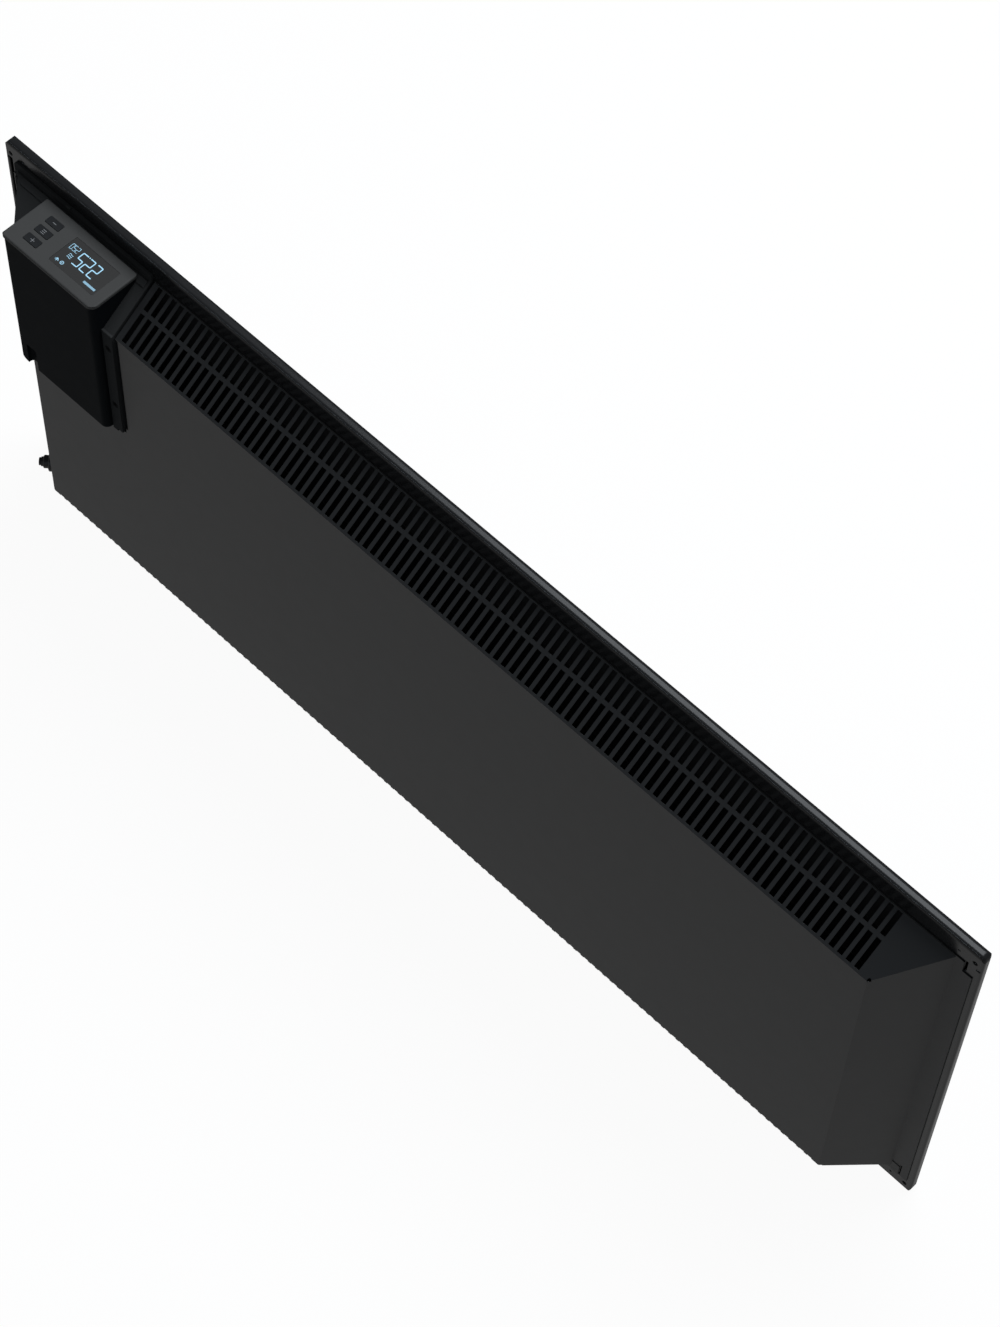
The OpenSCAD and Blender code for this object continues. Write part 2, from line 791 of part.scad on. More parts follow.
module lead_clips() {
    color("#d8d8d4")
        for (i = [0 : clip_n - 1])
            difference() {
                x = clip_x0 + i * (clip_x1 - clip_x0) / clip_n;
                block([x, route_y - lead_r - clip_wall, rail_z - clip_h / 2],
                      [x + clip_l, bracket_back_y, rail_z + clip_h / 2]);
                rod_x([x - over, route_y, rail_z], lead_r + fit / 2, clip_l + 2 * over);
            }
}

// Earth stud on the casing's back, near the gland
stud_r = 2.5;
stud_l = 14;
stud_nut_r = 4.6;
stud_nut_h = 4;
washer_rim = 1.2;
washer_t = 1;
stud_in = 22;
stud_lift = 11;
stud_x = casing_w / 2 - stud_in;
stud_z = -casing_h / 2 + stud_lift;

module earth_stud() {
    color("#c9a75a")
        translate([stud_x, bracket_back_y, stud_z])
            rotate([90, 0, 0]) {
                cylinder(r = stud_r, h = stud_l);
                cylinder(r = stud_nut_r + washer_rim, h = washer_t);
                translate([0, 0, washer_t])
                    cylinder(r = stud_nut_r, h = stud_nut_h, $fn = 6);
            }
}

// Mounting base of the control unit: a shell that fills the corner cut out of the casing
base_outset = 1;
base_side = 5.5;
bar_proud = 2;
lip_t = 1.8;
lip_r = 4;
lip_rise = 5.8;
lip_out = 7.9;
lip_x1 = end_x(flange_y) + lip_out;
lip_z1 = top_z(flange_y) + lip_rise;
latch_hole_in = 10;
latch_hole_x = lip_x1 - latch_hole_in;
pin_hole_out = 1;
pin_hole_pitch = 9.2;
pin_hole_x = [base_x0 - pin_hole_out, base_x0 - pin_hole_out - pin_hole_pitch];
pad_s0 = 41.1;
pad_s1 = 46.6;
pad_rise = 0.7;
groove_s = 46.8;
groove_w = 0.9;
groove_deep = 0.8;
head_r = 2.9;
head_h = 1.8;
screw_r = 1.2;
screw_l = 12;
latch_w = 4;
latch_in = 73;
latch_x = unit_x0 + latch_in;

function base_end(y, inset) = end_x(y, inset) + base_side;

module base_form(inset, y_front) {
    y_back = -inset;
    intersection() {
        along_x(base_x0 + inset, panel_w)
            polygon([[y_back, base_z0 + inset], [y_back, top_z(y_back, inset - base_outset)],
                     [y_front, top_z(y_front, inset - base_outset)], [y_front, base_z0 + inset]]);
        linear_extrude(panel_h)
            polygon([[base_x0 + inset, y_back], [base_end(y_back, inset), y_back],
                     [base_end(y_front, inset), y_front], [base_x0 + inset, y_front]]);
    }
}

// Outline of the housing, grown on every side: one big corner at the back beside the grille
module unit_outline(grow) {
    small = max(unit_edge_r + grow, fit);
    big = unit_corner_r + grow;
    corner = [unit_x0 - grow + big, unit_y1 + grow - big];
    difference() {
        soft_rect([unit_x0 - grow, unit_y0 - grow], [unit_x1 + grow, unit_y1 + grow], small, small);
        translate([corner.x - big - over, corner.y])
            square(big + over);
    }
    translate(corner)
        circle(big);
}

module unit_block(grow, z0, z1) {
    translate([0, 0, z0])
        linear_extrude(z1 - z0)
            unit_outline(grow);
}

module base_lip() {
    plate_y(flange_y + lip_t, lip_t) {
        soft_rect([base_x0, notch_z], [lip_x1, lip_z1], fit, lip_r);
        translate([base_x0, notch_z])
            square([lip_x1 - base_x0, lip_r]);
    }
    block([base_end(lap_y, 0) - base_wall, lap_y, base_z0], [lip_x1, lap_y + lip_t, notch_z]);
}

module control_base() {
    color("#202123")
        difference() {
            union() {
                difference() {
                    base_form(0, lap_y);
                    base_form(base_wall, lap_y - over);
                }
                difference() {
                    base_lip();
                    base_form(base_wall, flange_y - over);
                }
                intersection() {
                    base_form(0, lap_y);
                    unit_block(fit + base_wall, base_z0, panel_h);
                }
                block([base_x0, -ledge_in, base_z0], [unit_x0 - fit, bar_proud, top_z(0, -base_outset)]);
                on_slope(base_outset - fit)
                    linear_extrude(pad_rise + fit)
                        soft_rect([-base_end(-pad_s0 * cos(top_angle), base_wall), pad_s0],
                                  [-base_x0 - base_wall, pad_s1], (pad_s1 - pad_s0) / 2 - fit, fit);
                block([latch_x, lap_y, lip_z1 - base_wall],
                      [latch_x + latch_w, flange_y + lip_t + base_outset, lip_z1 + fit]);
            }
            unit_block(fit, unit_z0, panel_h);
            block([base_x0 - over, flange_y - over, base_z0 - over],
                  [base_x0 + base_step_w, unit_proud + over, base_z0 + base_step_h]);
            on_slope(base_outset - groove_deep)
                translate([-lip_x1 + base_wall, groove_s])
                    cube([lip_x1 - base_wall - base_x0 - base_wall, groove_w, 2 * groove_deep]);
            block([base_x0 - over, -ledge_in - casing_sheet - fit, ledge_z0 - fit],
                  [ledge_x1 + fit, -ledge_in, ledge_z1 + fit]);
            for (z = base_screw_z) {
                rod_y([base_screw_x, -ledge_in - over, z], screw_r + fit, panel_d);
                rod_y([base_screw_x, bar_proud - head_h - fit, z], head_r + fit, panel_d);
            }
            translate([hole_x, hole_y, base_z0 - over])
                cylinder(r = hole_r, h = 2 * over + base_wall);
        }
}

module screw(r, l, wide, tall) {
    cylinder(r = r, h = l + fit / 2);
    translate([0, 0, l])
        difference() {
            cylinder(r = wide, h = tall);
            translate([0, 0, tall / 2])
                for (a = [0, 90])
                    rotate(a)
                        translate([-wide / 2, -wide / 8, 0])
                            cube([wide, wide / 4, tall]);
        }
}

module base_screws() {
    color("#8f9193")
        for (z = base_screw_z)
            translate([base_screw_x, bar_proud - head_h - fit - screw_l, z])
                rotate([-90, 0, 0])
                    screw(screw_r, screw_l, head_r, head_h);
}

// Control housing: an upright box, open at the top under its cap
board_t = 1.6;
power_post_h = 3;
power_post_r = 3;
power_board_y = unit_y0 + unit_wall + power_post_h;
power_side = 10;
power_low = 16;
power_high = 20;
power_x0 = unit_x0 + power_side;
power_x1 = unit_x1 - power_side;
power_z0 = unit_z0 + power_low;
power_z1 = unit_z1 - power_high;
power_hole_in = 5;
channel_w = 10.3;
channel_in = 8;
channel_x = unit_x1 - channel_in - channel_w / 2;
channel_deep = 4.2;
channel_r = 3;
channel_h = 22.8;

module power_posts() {
    for (x = [power_x0 + power_hole_in, power_x1 - power_hole_in],
         z = [power_z0 + power_hole_in, power_z1 - power_hole_in])
        translate([x, unit_y0 + unit_wall / 2, z])
            rotate([-90, 0, 0])
                children();
}

// Lead channel with rounded inner corners up the back of the housing's lower outer corner
module channel(grow, z0) {
    half = channel_w / 2 + grow;
    translate([0, 0, z0])
        linear_extrude(channel_h + grow + unit_z0 - z0)
            soft_rect([channel_x - half, unit_y1 - channel_deep - grow],
                      [channel_x + half, unit_y1 + unit_proud], channel_r + grow, channel_r + grow);
}

// What the round lower outer corner takes off the housing
module foot_corner(inset) {
    difference() {
        block([unit_x1 - unit_foot_r, unit_y0 - over, unit_z0 - over],
              [unit_x1 + over, unit_y1 + over, unit_z0 + unit_foot_r]);
        rod_y([unit_x1 - unit_foot_r, unit_y0 - 2 * over, unit_z0 + unit_foot_r],
              unit_foot_r - inset, unit_d + 4 * over);
    }
}

module control_housing() {
    color("#131415")
        difference() {
            union() {
                difference() {
                    unit_block(0, unit_z0, unit_z1);
                    difference() {
                        unit_block(-unit_wall, unit_z0 + unit_wall, panel_h);
                        foot_corner(unit_wall);
                    }
                }
                power_posts()
                    cylinder(r = power_post_r, h = power_post_h + unit_wall / 2);
                intersection() {
                    unit_block(0, unit_z0, unit_z1);
                    channel(unit_wall, unit_z0);
                }
            }
            channel(0, unit_z0 - over);
            foot_corner(0);
            power_posts()
                translate([0, 0, unit_wall / 2])
                    cylinder(r = screw_r + fit / 4, h = panel_d);
            translate([hole_x, hole_y, unit_z0 - over])
                cylinder(r = hole_r, h = 2 * over + unit_wall);
        }
}

// Cap with the display window and three buttons
ledge_w = 1.5;
window_t = 1.2;
window_low = 0.15;
window_z = cap_z - window_low - window_t;
window_x0 = cap_x0 + window_inset;
window_x1 = window_x0 + window_w;
window_off = 0.1;
window_y0 = cap_mid_y - window_off - window_d / 2;
window_y1 = cap_mid_y - window_off + window_d / 2;
window_r = 1.2;
button_x1 = cap_x1 - button_inset;
button_x0 = button_x1 - button_w;
button_r = 0.9;
button_rise = 0.4;
button_off = 0.2;
button_mid_y = cap_mid_y + button_off;
button_flange = 0.6;
button_flange_h = 2.1;
button_top = cap_z + button_rise;
button_sink = 2.3;
button_low = unit_z1 - button_sink;
dish_r = 30;
skirt_h = 3.5;
skirt_t = 1.6;
boss_r = 2.5;
boss_l = 7.1;
board_z1 = unit_z1 - boss_l;
boss_in = 7.8;
boss_y = 12.9;

module bosses() {
    for (x = [cap_x0 + boss_in, cap_x1 - boss_in], s = [-1, 1])
        translate([x, cap_mid_y + s * boss_y, 0])
            children();
}

module button_outline(y, grow) {
    soft_rect([button_x0 - grow, y - button_d / 2 - grow], [button_x1 + grow, y + button_d / 2 + grow],
              button_r + grow, button_r + grow);
}

module cap_form() {
    intersection() {
        unit_block(bezel_lip, unit_z1, cap_z);
        along_x(cap_x0, cap_x1)
            soft_top(cap_y0, cap_y1);
        translate([0, cap_y1, 0])
            rotate([90, 0, 0])
                linear_extrude(cap_y1 - cap_y0)
                    soft_top(cap_x0, cap_x1);
    }
}

// A profile from the cap's underside to its top with rounded upper corners
module soft_top(u0, u1) {
    translate([u0, unit_z1])
        square([u1 - u0, bezel_t - bezel_edge_r]);
    translate([u0 + bezel_edge_r, unit_z1])
        square([u1 - u0 - 2 * bezel_edge_r, bezel_t]);
    for (u = [u0 + bezel_edge_r, u1 - bezel_edge_r])
        translate([u, cap_z - bezel_edge_r])
            circle(bezel_edge_r);
}

module control_bezel() {
    color("#3a3c3d")
        difference() {
            union() {
                cap_form();
                difference() {
                    unit_block(-unit_wall - fit, unit_z1 - skirt_h, cap_z - bezel_t / 2);
                    unit_block(-unit_wall - fit - skirt_t, unit_z1 - skirt_h - over, unit_z1);
                }
                bosses()
                    translate([0, 0, board_z1])
                        cylinder(r = boss_r, h = boss_l + bezel_t / 2);
            }
            translate([0, 0, window_z])
                linear_extrude(bezel_t)
                    soft_rect([window_x0, window_y0], [window_x1, window_y1], window_r, window_r);
            block([window_x0 + ledge_w, window_y0 + ledge_w, unit_z1 - over],
                  [window_x1 - ledge_w, window_y1 - ledge_w, cap_z]);
            for (i = [-1 : 1])
                translate([0, 0, unit_z1 - over])
                    linear_extrude(2 * bezel_t)
                        button_outline(button_mid_y + i * button_pitch, button_gap);
            bosses()
                translate([0, 0, board_z1 - over])
                    cylinder(r = screw_r + fit / 4, h = boss_l + over);
        }
}

module display_window() {
    color("#37393a")
        translate([0, 0, window_z])
            linear_extrude(window_t)
                soft_rect([window_x0 + fit / 2, window_y0 + fit / 2],
                          [window_x1 - fit / 2, window_y1 - fit / 2], window_r, window_r);
}

display_in = 2;

module display_module() {
    color("#15171a") {
        block([window_x0 + display_in, window_y0 + display_in, board_z1],
              [window_x1 - display_in, window_y1 - display_in, unit_z1 - fit]);
    }
}

board_in = 5.6;
board_x0 = cap_x0 + board_in;
board_x1 = cap_x1 - board_in;
board_y0 = cap_y0 + board_in;
board_y1 = cap_y1 - board_in;

module display_board() {
    color("#1f5a3c")
        difference() {
            block([board_x0, board_y0, board_z1 - board_t], [board_x1, board_y1, board_z1]);
            bosses()
                translate([0, 0, board_z1 - board_t - over])
                    cylinder(r = screw_r + fit, h = 2 * over + board_t);
        }
}

board_screw_l = 6;

module display_screws() {
    color("#8f9193")
        bosses()
            translate([0, 0, board_z1 - board_t + board_screw_l])
                mirror([0, 0, 1])
                    screw(screw_r, board_screw_l, 2 * screw_r, head_h);
}

tact_w = 6;
tact_h = 3.4;
tact_r = 1.7;
tact_slack = 0.05;

module tact_switches() {
    color("#1a1a1b")
        for (i = [-1 : 1])
            translate([(button_x0 + button_x1) / 2, button_mid_y + i * button_pitch, board_z1]) {
                translate([-tact_w / 2, -tact_w / 2, 0])
                    cube([tact_w, tact_w, tact_h]);
                cylinder(r = tact_r, h = button_low - board_z1 - button_travel - tact_slack);
            }
}

module button(i) {
    y = button_mid_y + i * button_pitch;
    difference() {
        union() {
            translate([0, 0, button_low])
                linear_extrude(button_top - button_low)
                    button_outline(y, 0);
            translate([0, 0, button_low])
                linear_extrude(button_flange_h)
                    button_outline(y, button_flange + button_gap);
        }
        translate([(button_x0 + button_x1) / 2, y, button_top - fit + dish_r])
            rotate([0, 90, 0])
                cylinder(r = dish_r, h = 2 * button_w, center = true, $fn = 240);
    }
}

module button_minus() {
    color("#2b2d2e")
        button(-1);
}

module button_menu() {
    color("#2b2d2e")
        button(0);
}

module button_plus() {
    color("#2b2d2e")
        button(1);
}

// Power board and what stands on it
part_y = power_board_y + board_t;
relay_size = [19, 15.5, 15.4];
module_size = [34, 15, 20.2];
capacitor_size = [13, 9, 11];
terminal_size = [15.2, 10, 12];
row_up = 44;
module_drop = 34;
row_z = power_z0 + row_up;
module_z = power_z1 - module_drop;
relay_in = 12;
module_in = 16;
capacitor_in = 44;

module power_board() {
    color("#1f5a3c")
        difference() {
            block([power_x0, power_board_y, power_z0], [power_x1, part_y, power_z1]);
            power_posts()
                cylinder(r = screw_r + fit, h = panel_d + over);
        }
}

module power_board_screws() {
    color("#8f9193")
        power_posts()
            translate([0, 0, unit_wall / 2 + fit])
                screw(screw_r, power_post_h + board_t - fit, 2 * screw_r, head_h);
}

module on_board(x, z, size) {
    translate([x, part_y, z])
        cube(size);
}

module relay() {
    color("#1d3f7a")
        on_board(power_x0 + relay_in, row_z, relay_size);
}

module power_module() {
    color("#202224")
        on_board(power_x0 + module_in, module_z, module_size);
}

module filter_capacitor() {
    color("#c79a2e")
        on_board(power_x0 + capacitor_in, row_z, capacitor_size);
}

terminal_x = hole_x - terminal_size.x / 2 - terminal_pitch;
terminal_cover = 1;
terminal_low = terminal_z - terminal_cover;
terminal_dip = 1.2;

module terminal_block() {
    color("#2f7d46")
        difference() {
            on_board(terminal_x, terminal_low, terminal_size);
            for (i = [-1 : 1])
                translate([terminal_x + terminal_size.x / 2 + i * terminal_pitch, part_y, terminal_low]) {
                    translate([0, terminal_size.y + fit, terminal_size.z / 2])
                        rotate([90, 0, 0])
                            cylinder(r = terminal_pitch / 3, h = terminal_dip + fit);
                    translate([0, terminal_y - part_y, -fit])
                        cylinder(r = lead_r + fit, h = terminal_dip + fit);
                }
        }
}

sensor_r = 2;
sensor_l = 9;
sensor_in = 7;
sensor_y = -4;

module room_sensor() {
    color("#141414")
        translate([unit_x0 + sensor_in, sensor_y, unit_z0 + unit_wall])
            cylinder(r = sensor_r, h = sensor_l);
}

// Cable gland through the end face
gland_flat = 4.9;
gland_in = 11;
neck_r = 4.2;
neck_top = 8.2;
cap_r = 5.3;
cap_top = 9.3;
nose_r = 3.9;
nose_top = 11;
seal_wall = 0.6;
gland_gap = 0.1;
seal_r = cable_bore_d / 2 + seal_wall;
seal_seat_r = seal_r + gland_gap;
neck_seat_r = neck_r + gland_gap;
seal_top = 12.8;
seal_low = 3;
nut_r = 8.6;
nut_h = 4;
gland_chamfer = 0.7;

module gland_body() {
    color("#0c0c0c")
        at_gland()
            rotate_extrude()
                polygon([[seal_seat_r, -gland_in], [gland_shank_r, -gland_in], [gland_shank_r, 0],
                         [gland_d / 2, 0], [gland_d / 2, gland_flat - gland_chamfer],
                         [gland_d / 2 - gland_chamfer, gland_flat], [neck_r, gland_flat],
                         [neck_r, neck_top], [seal_seat_r, neck_top]]);
}

module gland_cap() {
    color("#0c0c0c")
        at_gland()
            rotate_extrude()
                polygon([[neck_seat_r, gland_flat], [cap_r, gland_flat], [cap_r, cap_top - gland_chamfer],
                         [cap_r - gland_chamfer, cap_top], [nose_r, cap_top], [nose_r, nose_top],
                         [seal_seat_r, nose_top], [seal_seat_r, neck_top + gland_gap],
                         [neck_seat_r, neck_top + gland_gap]]);
}

module gland_seal() {
    color("#0a0a0a")
        at_gland()
            rotate_extrude()
                polygon([[cable_bore_d / 2, seal_low], [seal_r, seal_low], [seal_r, seal_top - fit],
                         [seal_r - fit, seal_top], [cable_bore_d / 2, seal_top]]);
}

module gland_nut() {
    color("#0c0c0c")
        at_gland()
            translate([0, 0, -casing_sheet - nut_h])
                difference() {
                    cylinder(r = nut_r, h = nut_h, $fn = 6);
                    translate([0, 0, -over])
                        cylinder(r = gland_shank_r + gland_gap, h = nut_h + 2 * over);
                }
}

front_panel();
rear_casing();
heat_shield();
spacer_strips();
element_fins();
heating_rod();
rod_end_bushes();
element_bracket_left();
element_bracket_right();
thermal_cutout();
element_leads();
lead_clips();
earth_stud();
control_base();
base_screws();
control_housing();
control_bezel();
display_window();
display_module();
display_board();
display_screws();
tact_switches();
button_minus();
button_menu();
button_plus();
power_board();
power_board_screws();
relay();
power_module();
filter_capacitor();
terminal_block();
room_sensor();
gland_body();
gland_cap();
gland_seal();
gland_nut();
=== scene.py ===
"""Looks of the wall panel convector heater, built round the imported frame."""
import math

import bmesh
import bpy
from mathutils import Matrix, Vector
from mathutils.bvhtree import BVHTree


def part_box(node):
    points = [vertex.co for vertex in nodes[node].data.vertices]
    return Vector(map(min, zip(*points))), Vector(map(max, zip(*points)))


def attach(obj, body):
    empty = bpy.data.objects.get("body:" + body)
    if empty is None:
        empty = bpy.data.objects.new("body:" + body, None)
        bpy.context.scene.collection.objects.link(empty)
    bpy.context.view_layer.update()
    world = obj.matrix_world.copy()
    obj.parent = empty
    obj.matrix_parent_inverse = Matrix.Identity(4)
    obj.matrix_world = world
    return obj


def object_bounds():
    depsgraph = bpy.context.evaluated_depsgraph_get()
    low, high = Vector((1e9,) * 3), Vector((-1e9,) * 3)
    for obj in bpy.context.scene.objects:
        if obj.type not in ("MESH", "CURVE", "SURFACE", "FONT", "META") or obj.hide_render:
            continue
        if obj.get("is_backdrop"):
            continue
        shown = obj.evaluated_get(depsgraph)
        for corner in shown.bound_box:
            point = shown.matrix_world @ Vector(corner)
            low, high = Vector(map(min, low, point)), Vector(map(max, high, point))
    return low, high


MM = 0.001
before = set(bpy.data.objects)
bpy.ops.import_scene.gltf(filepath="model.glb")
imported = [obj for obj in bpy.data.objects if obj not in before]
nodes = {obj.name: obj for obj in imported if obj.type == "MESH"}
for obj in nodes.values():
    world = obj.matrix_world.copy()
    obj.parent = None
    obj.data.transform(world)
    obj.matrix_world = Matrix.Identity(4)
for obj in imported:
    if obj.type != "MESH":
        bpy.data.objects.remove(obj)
cad_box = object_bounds()
ROOT = "heater"

# Camera: where the photograph was taken from
CAMERA_AT = Vector((-0.86632, 0.86970, 2.12891))
CAMERA_LOOK = Vector((0.343432, -0.378832, -0.859384))
CAMERA_ROLL = -2.5742
LENS_MM = 93.835
SENSOR_MM = 36

# Printed marks: their thickness, and the colour of those that are lit
PRINT_T = 0.02 * MM
DISPLAY_BLUE = (0.36, 0.66, 0.86)

# The panel's rolled rim: the planes of its front and of its flange, and how far the shading turns the
# walls between them, backwards behind and forwards before
FRONT_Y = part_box("front_panel")[0].y
FLANGE_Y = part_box("front_panel")[1].y
REAR_TURN = 0.7
REAR_TURN_D = 3.8 * MM
FRONT_TURN = 0.25
FRONT_TURN_FROM = 3.4 * MM
FRONT_TURN_TO = 1.4 * MM

# Light: an even room, a soft panel overhead and a low strip behind, which shows only as a highlight
ROOM_LIGHT = 0.21
ROOM_TONE = (0.87, 0.93, 1)
OVERHEAD_AT = (0, -1.2, 2.4)
OVERHEAD_SIZE = (2.2, 1.6)
OVERHEAD_W = 74
OVERHEAD_TONE = (0.9, 0.945, 1)
STRIP_AT = (0.5, 3.1, 1.45)
STRIP_SIZE = (4, 0.1)
STRIP_W = 32
STRIP_TONE = (0.78, 0.89, 1)

# Floor: white to the eye, pale under light; its image in glossy faces is even behind the heater and
# beyond the end away from the control unit, and fades to an eighth in front
FLOOR_HALF = 30
FLOOR_GAP = 0.5 * MM
FLOOR_PALE = (0.4, 0.4, 0.4)
FLOOR_WHITE_TO_CAMERA = 0.95
FLOOR_IN_GLOSS = 0.44
FLOOR_IN_FRONT = 0.12
FLOOR_FADE_FROM = -0.03
FLOOR_FADE_TO = -0.09
FLOOR_END_FADE = 10 * MM


def new_material(name):
    """An empty node material with its Principled shader and output"""
    mat = bpy.data.materials.new(name)
    mat.use_nodes = True
    tree = mat.node_tree
    return mat, tree, tree.nodes["Principled BSDF"]


def add(tree, kind, **values):
    """A node with its properties set"""
    node = tree.nodes.new(kind)
    for key, value in values.items():
        setattr(node, key, value)
    return node


def noise(tree, scale, detail=4.0, roughness=0.6, stretch=None):
    """Noise in object space, in features per metre"""
    coords = add(tree, "ShaderNodeTexCoord")
    tex = add(tree, "ShaderNodeTexNoise")
    tex.inputs["Scale"].default_value = scale
    tex.inputs["Detail"].default_value = detail
    tex.inputs["Roughness"].default_value = roughness
    source = coords.outputs["Object"]
    if stretch:
        mapping = add(tree, "ShaderNodeMapping")
        mapping.inputs["Scale"].default_value = stretch
        tree.links.new(source, mapping.inputs["Vector"])
        source = mapping.outputs["Vector"]
    tree.links.new(source, tex.inputs["Vector"])
    return tex.outputs["Fac"]


def ramp(tree, fac, low, high, start=0.0, end=1.0):
    """Fac mapped from start..end onto low..high"""
    node = add(tree, "ShaderNodeMapRange")
    node.inputs["From Min"].default_value = start
    node.inputs["From Max"].default_value = end
    node.inputs["To Min"].default_value = low
    node.inputs["To Max"].default_value = high
    tree.links.new(fac, node.inputs["Value"])
    return node.outputs["Result"]


def tint(tree, fac, low, high):
    """A colour between low and high by fac"""
    node = add(tree, "ShaderNodeMix", data_type="RGBA")
    node.inputs["A"].default_value = (*low, 1)
    node.inputs["B"].default_value = (*high, 1)
    tree.links.new(fac, node.inputs["Factor"])
    return node.outputs["Result"]


def math_node(tree, operation, *values):
    """A sum, product or other function of sockets and numbers"""
    node = add(tree, "ShaderNodeMath", operation=operation)
    for k, value in enumerate(values):
        if isinstance(value, (int, float)):
            node.inputs[k].default_value = value
        else:
            tree.links.new(value, node.inputs[k])
    return node.outputs["Value"]


def place(tree, axis):
    """A coordinate in object space, which is the frame's own at rest"""
    coords = add(tree, "ShaderNodeTexCoord")
    parts = add(tree, "ShaderNodeSeparateXYZ")
    tree.links.new(coords.outputs["Object"], parts.inputs["Vector"])
    return parts.outputs[axis]


def soft_edges(tree, radius, samples=6):
    """The normal with every edge rounded to a radius"""
    edge = add(tree, "ShaderNodeBevel", samples=samples)
    edge.inputs["Radius"].default_value = radius
    return edge.outputs["Normal"]


def turned(tree, normal, way, share):
    """The normal turned part of the way towards a fixed direction"""
    mix = add(tree, "ShaderNodeMix", data_type="VECTOR")
    tree.links.new(share, mix.inputs["Factor"])
    tree.links.new(normal, mix.inputs["A"])
    mix.inputs["B"].default_value = way
    unit = add(tree, "ShaderNodeVectorMath", operation="NORMALIZE")
    tree.links.new(mix.outputs["Result"], unit.inputs[0])
    return unit.outputs["Vector"]


def rolled_rim(tree, normal):
    """The normal over the rim's walls turned backwards at their rear and forwards at their front"""
    y = place(tree, "Y")
    rear = ramp(tree, y, REAR_TURN, 0, FLANGE_Y, FLANGE_Y - REAR_TURN_D)
    front = ramp(tree, y, 0, FRONT_TURN, FRONT_Y + FRONT_TURN_FROM, FRONT_Y + FRONT_TURN_TO)
    return turned(tree, turned(tree, normal, (0, 1, 0), rear), (0, -1, 0), front)


def bump(tree, shader, heights, normal):
    """Stacked bumps, each (height output, strength, distance), over softened edges"""
    for height, strength, distance in heights:
        node = add(tree, "ShaderNodeBump")
        node.inputs["Strength"].default_value = strength
        node.inputs["Distance"].default_value = distance
        tree.links.new(height, node.inputs["Height"])
        tree.links.new(normal, node.inputs["Normal"])
        normal = node.outputs["Normal"]
    tree.links.new(normal, shader.inputs["Normal"])


def scaled(colour, k):
    """A colour made lighter or darker"""
    return tuple(c * k for c in colour)


def uneven(tree, shader, colour, rough, cloud, cloud_by, dull, dull_by):
    """Colour and roughness that vary a little: colour by a share along cloud, roughness along dull"""
    base = tint(tree, cloud, scaled(colour, 1 - cloud_by), scaled(colour, 1 + cloud_by))
    tree.links.new(base, shader.inputs["Base Color"])
    roughness = ramp(tree, dull, rough - dull_by, rough + dull_by)
    tree.links.new(roughness, shader.inputs["Roughness"])


def coated(name, colour, rough=0.42, grain=0.35, gloss=0.25, rim=False):
    """Powder coat: an even colour, a fine orange peel and a slightly uneven gloss"""
    mat, tree, shader = new_material(name)
    shader.inputs["Specular IOR Level"].default_value = gloss
    uneven(tree, shader, colour, rough, noise(tree, 14, 3), 0.04, noise(tree, 60, 2), 0.015)
    peel = noise(tree, 2600, 2, 0.5)
    edges = soft_edges(tree, 0.3 * MM)
    if rim:
        edges = rolled_rim(tree, edges)
    bump(tree, shader, [(peel, grain, 0.05 * MM)], edges)
    return mat


def moulded(name, colour, rough=0.5, grain=0.25, grain_scale=3500, gloss=0.3, cool=0):
    """Moulded plastic with a fine spark texture; cool turns its highlights from red to blue"""
    mat, tree, shader = new_material(name)
    shader.inputs["Specular IOR Level"].default_value = gloss
    shader.inputs["Specular Tint"].default_value = (1 - cool, 1, 1 + cool, 1)
    uneven(tree, shader, colour, rough, noise(tree, 30, 3), 0.05, noise(tree, 90, 2), 0.03)
    sparks = noise(tree, grain_scale, 2, 0.5)
    bump(tree, shader, [(sparks, grain, 0.03 * MM)], soft_edges(tree, 0.25 * MM))
    return mat


def bare_metal(name, colour, rough=0.32):
    """Bare rolled or drawn metal with fine lines along X"""
    mat, tree, shader = new_material(name)
    shader.inputs["Metallic"].default_value = 1
    lines = noise(tree, 60, 6, 0.7, (1, 40, 40))
    base = tint(tree, lines, scaled(colour, 0.85), scaled(colour, 1.1))
    tree.links.new(base, shader.inputs["Base Color"])
    tree.links.new(ramp(tree, lines, rough - 0.08, rough + 0.1), shader.inputs["Roughness"])
    bump(tree, shader, [(lines, 0.08, 0.05 * MM)], soft_edges(tree, 0.2 * MM))
    return mat


def glowing(name, colour, strength):
    """Lit display segments"""
    mat, tree, shader = new_material(name)
    shader.inputs["Base Color"].default_value = (*scaled(colour, 0.3), 1)
    shader.inputs["Emission Color"].default_value = (*colour, 1)
    flicker = noise(tree, 900, 2)
    level = ramp(tree, flicker, strength * 0.92, strength * 1.08)
    tree.links.new(level, shader.inputs["Emission Strength"])
    return mat


PANEL = coated("panel_coat", (0.012, 0.0123, 0.0127), 0.24, 0.02, gloss=0.2, rim=True)
CASING = coated("casing_coat", (0.012, 0.0123, 0.0127), 0.42, 0.2, gloss=0.2)
BASE = moulded("base_plastic", (0.0315, 0.0325, 0.0325), 0.5, 0.1, gloss=0.003, cool=0.05)
HOUSING = moulded("housing_plastic", (0.0058, 0.007, 0.008), 0.5, 0.1, gloss=0.011, cool=0.12)
BEZEL = moulded("bezel_plastic", (0.0545, 0.0545, 0.053), 0.5, 0.12, gloss=0.06)
BUTTON = moulded("button_plastic", (0.0185, 0.0195, 0.0205), 0.45, 0.15, gloss=0.04)
WINDOW = moulded("window_acrylic", (0.0383, 0.0375, 0.0362), 0.3, 0.02, gloss=0.1)
GLAND = moulded("gland_nylon", (0.004, 0.004, 0.004), 0.4)
RUBBER = moulded("seal_rubber", (0.003, 0.003, 0.003), 0.7, 0.4)
